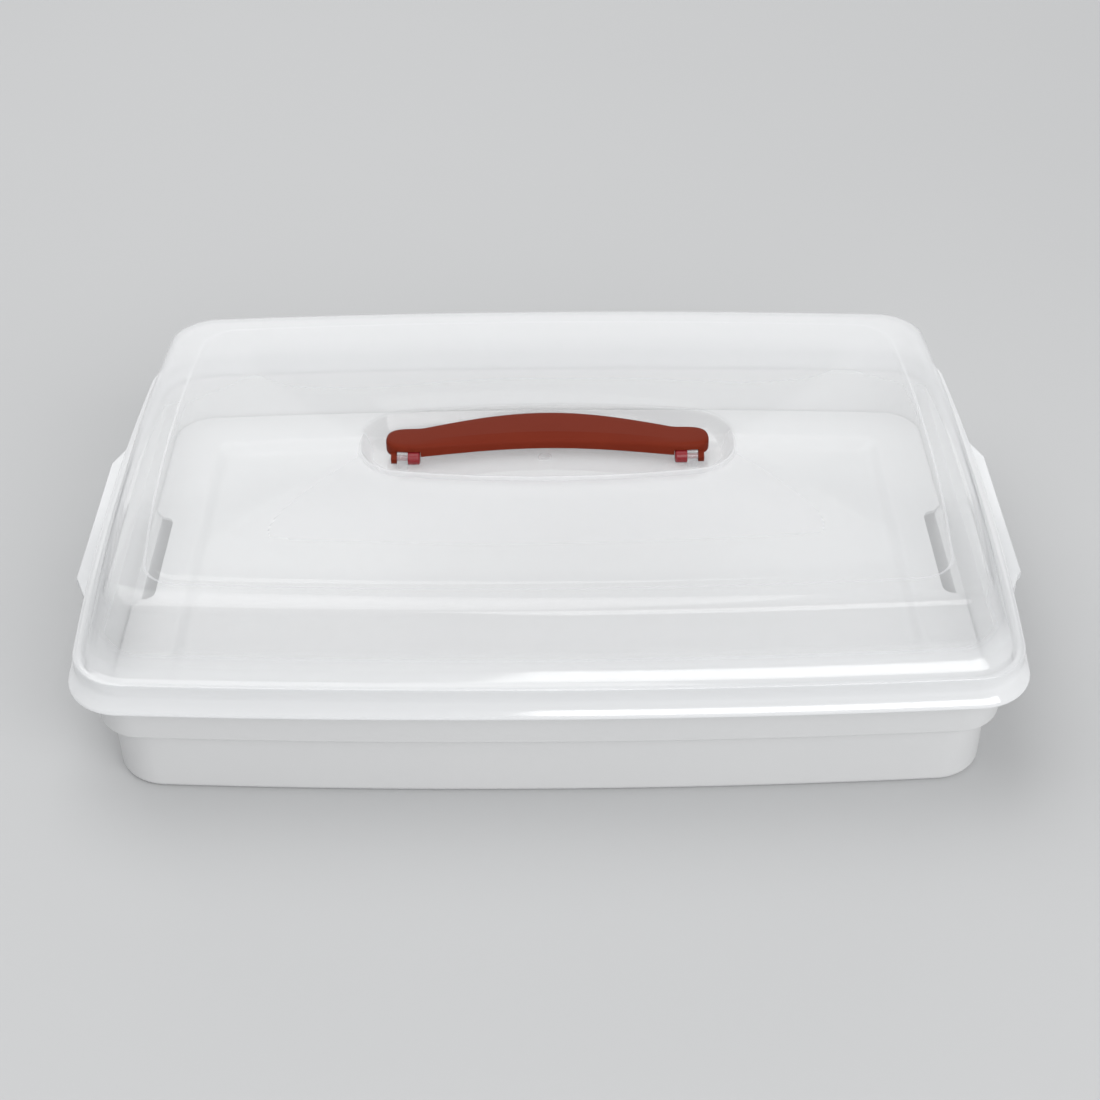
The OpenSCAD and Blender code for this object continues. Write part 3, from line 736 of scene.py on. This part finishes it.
# %% [markdown]
# The ears are welded on first. The hollow, the pockets and the pins' bores are then cut out. The
# plastic is dark brown and mirrors little, so the long slope shows a soft line and no hard glint.

# %% Ears, hollow and pockets of the handle
EAR_R, EAR_WIDTH, EAR_INSET = 2.8, 2.8, 5.6
HANDLE_WALL, HOLLOW_END, HOLLOW_STEPS, POCKET_R = 2.2, 4, 30, 3.7
SIDE_SWELL = (GRIP_WIDTH - PAD_WIDTH) / 2


def handle_ear(side):
    inside = handle_high.x - EAR_INSET
    arc = [(pivot_y + EAR_R * cos(t), pivot_z + EAR_R * sin(t))
           for t in (pi + turn for turn in half_circle)]
    section = arc + [(pivot_y + EAR_R, grip_base + 2), (pivot_y + 0.6, grip_base + 2),
                     (pivot_y - EAR_R, grip_base + 0.6)]
    return loft([[(side * x, y, z) for y, z in section] for x in (inside, inside + EAR_WIDTH)])


def grip_hollow():
    reach = grip_half - HOLLOW_END
    xs = [reach * (2 * i / HOLLOW_STEPS - 1) for i in range(HOLLOW_STEPS + 1)]
    front = [(x, (ARCH - SIDE_SWELL) * rise(x) - PAD_FRONT + HANDLE_WALL) for x in xs]
    back = [(x, (ARCH + SIDE_SWELL) * rise(x) - PAD_FRONT + PAD_WIDTH - HANDLE_WALL)
            for x in reversed(xs)]
    rings = [level(front + back, z)
             for z in (grip_base - 1, grip_top - HANDLE_WALL - SLOPE_DROP / 2)]
    return loft([ring[-1:] + ring[:-1] for ring in rings], bands=True)


def pocket(side):
    ends = (grip_half, lug_in + LUG_WIDTH + GRIP_GAP)
    return turned([(side * x, POCKET_R) for x in ends], (0, pivot_y, pivot_z), "X", 48)


def ear_bore(side):
    ends = (lug_in + LUG_WIDTH - 0.5, handle_high.x + 1)
    return turned([(side * x, PIN_R + RUNNING_GAP) for x in ends], (0, pivot_y, pivot_z), "X", 32)


handle = mesh_piece("handle", *handle_skin)
handle = combine(handle, [mesh_piece("ear", *handle_ear(side)) for side in (-1, 1)], "UNION")
tools = [grip_hollow()] + [make(side) for make in (pocket, ear_bore) for side in (-1, 1)]
handle = combine(handle, [mesh_piece("handle_tool", *tool) for tool in tools], "DIFFERENCE")
handle_plastic = plastic("handle_plastic", {
    "Colour": (0.175, 0.024, 0.010, 1), "Cloud Colour": (0.150, 0.019, 0.008, 1),
    "Cloud Size": 30.0, "Grain Size": 700.0, "Gloss": 0.44, "Gloss Spread": 0.12},
    {"IOR": 1.45, "Specular IOR Level": 0.07}, 0.08)
settle(handle, "carry_handle", handle_plastic, "handle")


# %% [markdown]
# ## The pivot pins
# A red pin holds each end of the handle. Its head lies against the lug's inner face and its shank
# runs through the lug into the handle's ear. Turned parts are a profile spun about their axis.

# %% Build the pins
HEAD_CHAMFER, SHANK_CHAMFER = 0.2, 0.3
# A ring of no width can't be lofted, so the middle of each end keeps this tiny radius.
CENTRE_R = 0.01
head_r, shank_end = (pin_high.z - pin_low.z) / 2, pin_high.x


def pin(side):
    along = [(head_in, CENTRE_R), (head_in, head_r - 0.9), (head_in + 0.25, head_r - 0.35),
             (head_in + 0.8, head_r), (lug_in - HEAD_CHAMFER, head_r),
             (lug_in, head_r - HEAD_CHAMFER), (lug_in, PIN_R), (shank_end - SHANK_CHAMFER, PIN_R),
             (shank_end, PIN_R - SHANK_CHAMFER), (shank_end, CENTRE_R)]
    profile = [(side * x, r) for x, r in along]
    return mesh_piece("pin_left" if side < 0 else "pin_right",
                      *turned(profile, (0, pivot_y, pivot_z), "X", 48), 30)


pin_plastic = plastic("pin_plastic", {
    "Colour": (0.26, 0.012, 0.018, 1), "Cloud Colour": (0.2, 0.008, 0.014, 1),
    "Cloud Size": 60.0, "Gloss": 0.22, "Gloss Spread": 0.08}, {"IOR": 1.5})
for side, name in ((-1, "handle_pin_left"), (1, "handle_pin_right")):
    settle(pin(side), name, pin_plastic, "lid")


# %% [markdown]
# ## The latches
# Each latch is a clear plate that hangs from a round barrel. Pegs at the barrel's ends run in the
# lid's ears, and a hook along the lower edge reaches in below the tub's rib. Plate, barrel, pegs
# and hook are welded into one skin, because inner faces would show through the clear plastic.

# %% Build the latches
LATCH_WALL, LATCH_CORNER, LATCH_STEPS = 2.2, 7.0, 9
LATCH_EDGE, LATCH_BEVEL, TURNED_EDGE, PEG_SHORT = 0.5, 0.15, 0.3, 0.2
HOOK_ROOT, HOOK_LIFT, HOOK_BEVEL, HOOK_THICK = 0.5, 0.8, 0.4, 1.6
latch_out = latch_high.x
plate_in = latch_out - LATCH_WALL
latch_foot = latch_low.z
hook_tip = latch_low.x


def plate_outline(shrink):
    """The plate seen from outside, as (y, z) points, with round lower corners."""
    r = LATCH_CORNER
    half, low, high = LATCH_HALF - shrink, latch_foot + shrink, hinge_z
    arc = [(sin(t), 1 - cos(t))
           for t in (radians(90 / LATCH_STEPS * i) for i in range(LATCH_STEPS + 1))]
    right = [(half - r + r * u, low + r * v) for u, v in arc]
    left = [(-y, z) for y, z in reversed(right)]
    return right + [(half, high), (-half, high)] + left


def rod(end, radius):
    """Profile of a round rod from -end to end with a small chamfer at both ends."""
    edge = TURNED_EDGE
    return [(-end, radius - edge), (edge - end, radius), (end - edge, radius), (end, radius - edge)]


def latch(side):
    bevel = LATCH_BEVEL
    stack = [(plate_in, LATCH_EDGE), (plate_in + bevel, bevel), (plate_in + LATCH_EDGE, 0.0),
             (latch_out - LATCH_EDGE, 0.0), (latch_out - bevel, bevel), (latch_out, LATCH_EDGE)]
    plate = loft([[(side * x, y, z) for y, z in plate_outline(shrink)] for x, shrink in stack])
    centre = (side * hinge_x, 0, hinge_z)
    barrel = turned(rod(LATCH_HALF, BARREL_R), centre, "Y")
    peg = turned(rod(LATCH_HALF + EAR_GAP + EAR - PEG_SHORT, PEG_R), centre, "Y", 24)
    hook = [(side * x, z) for x, z in (
        (plate_in + HOOK_ROOT, latch_foot + HOOK_LIFT), (plate_in + HOOK_ROOT, hook_top),
        (hook_tip + HOOK_BEVEL, hook_top), (hook_tip, hook_top - HOOK_BEVEL),
        (hook_tip, hook_top - HOOK_THICK))]
    piece = mesh_piece("latch_left_plate" if side < 0 else "latch_right_plate", *plate)
    parts = [barrel, peg, extruded(hook, -CATCH_HALF, CATCH_HALF)]
    return combine(piece, [mesh_piece("latch_part", *p) for p in parts], "UNION")


latch_plastic = plastic("latch_plastic", CLEAR | {
    "Cloud Size": 14.0, "Gloss": 0.12, "Gloss Spread": 0.06}, {"IOR": 1.8})
see_through(latch_plastic, 0.4, 0.7, milky=0.3, milky_from=latch_foot, milky_to=lip_z + 22)
for side, name in ((-1, "latch_left"), (1, "latch_right")):
    settle(latch(side), name, latch_plastic, name)


# %% [markdown]
# ## Floor, light and camera
# A pale, dull floor takes a soft shadow and lightens the tub from below. A plain sheet is enough,
# because the camera doesn't see its edge.

# %% Floor
FLOOR_SIZE = 6.0
half = FLOOR_SIZE / 2 / MM
floor = mesh_piece("floor", [(-half, -half, 0), (half, -half, 0), (half, half, 0), (-half, half, 0)],
                   [(0, 1, 2, 3)])
floor.data.materials.append(plastic("floor_paper", {
    "Colour": (0.56, 0.565, 0.57, 1), "Cloud Colour": (0.54, 0.545, 0.55, 1),
    "Cloud Size": 2.0, "Gloss": 0.75, "Gloss Spread": 0.1}, {"IOR": 1.3}))
print("floor", FLOOR_SIZE, "m wide")

# %% [markdown]
# Broad soft lights keep the shading gentle: a wide fill in front, one overhead, and a large panel
# behind the carrier. The flat lid mirrors that panel, and the panel's upper edge shows in it as a
# faint straight line.

# %% Lights
def panel_light(name, place, aim, width, height, power):
    data = bpy.data.lights.new(name, "AREA")
    data.shape, data.size, data.size_y, data.energy = "RECTANGLE", width, height, power
    lamp = bpy.data.objects.new(name, data)
    lamp.location = place
    lamp.rotation_euler = (Vector(aim) - Vector(place)).to_track_quat("-Z", "Y").to_euler()
    lamp.visible_camera = False
    bpy.context.scene.collection.objects.link(lamp)
    print(name, width, "x", height, "m,", power, "W")


# A ray from the camera that meets the lid a little in front of its middle is mirrored upwards at
# this slope. The panel's upper edge lies on that ray.
MIRROR_SLOPE, EDGE_IN_FRONT = 0.7016, 0.026
BACK_DISTANCE, BACK_HEIGHT = 1.5, 1.0
back_top = lid_top * MM + (BACK_DISTANCE + EDGE_IN_FRONT) * MIRROR_SLOPE
back_z = back_top - BACK_HEIGHT / 2
panel_light("back_panel", (0, BACK_DISTANCE, back_z), (0, 0, back_z), 3.0, BACK_HEIGHT, 9)
panel_light("overhead_panel", (-0.45, 0.1, 1.5), (0, 0, 0.05), 1.8, 1.4, 12)
panel_light("front_fill", (0.9, -1.9, 1.3), (0, 0, 0.05), 2.4, 1.6, 38)
bpy.context.scene.view_settings.view_transform = "Standard"
world = bpy.data.worlds.new("studio")
bpy.context.scene.world = world
world.use_nodes = True
world.node_tree.nodes["Background"].inputs["Color"].default_value = (0.99, 0.995, 1.0, 1)
world.node_tree.nodes["Background"].inputs["Strength"].default_value = 0.45

# %% [markdown]
# The camera stands where the photograph was taken from. Its place, its turn and the length of its
# lens were worked out by laying the solids' outline over the photograph.

# %% Camera
IMAGE = 1100
FOCAL_PIXELS = 1929.84
EYE = Vector((2.04, -791.57, 647.4)) * MM
YAW, PITCH, ROLL = radians(-0.09), radians(37.43), radians(-0.52)

lens = bpy.data.cameras.new("photo_view")
lens.sensor_width = 36
lens.lens = lens.sensor_width * FOCAL_PIXELS / IMAGE
forward = Vector((sin(YAW) * cos(PITCH), cos(YAW) * cos(PITCH), -sin(PITCH)))
level_right = Vector((cos(YAW), -sin(YAW), 0))
level_up = level_right.cross(forward)
right = level_right * cos(ROLL) + level_up * sin(ROLL)
up = level_up * cos(ROLL) - level_right * sin(ROLL)
camera = bpy.data.objects.new("photo_view", lens)
camera.matrix_world = Matrix.Translation(EYE) @ Matrix((right, up, -forward)).transposed().to_4x4()
bpy.context.scene.collection.objects.link(camera)
bpy.context.scene.camera = camera
print("lens", round(lens.lens, 2), "mm")
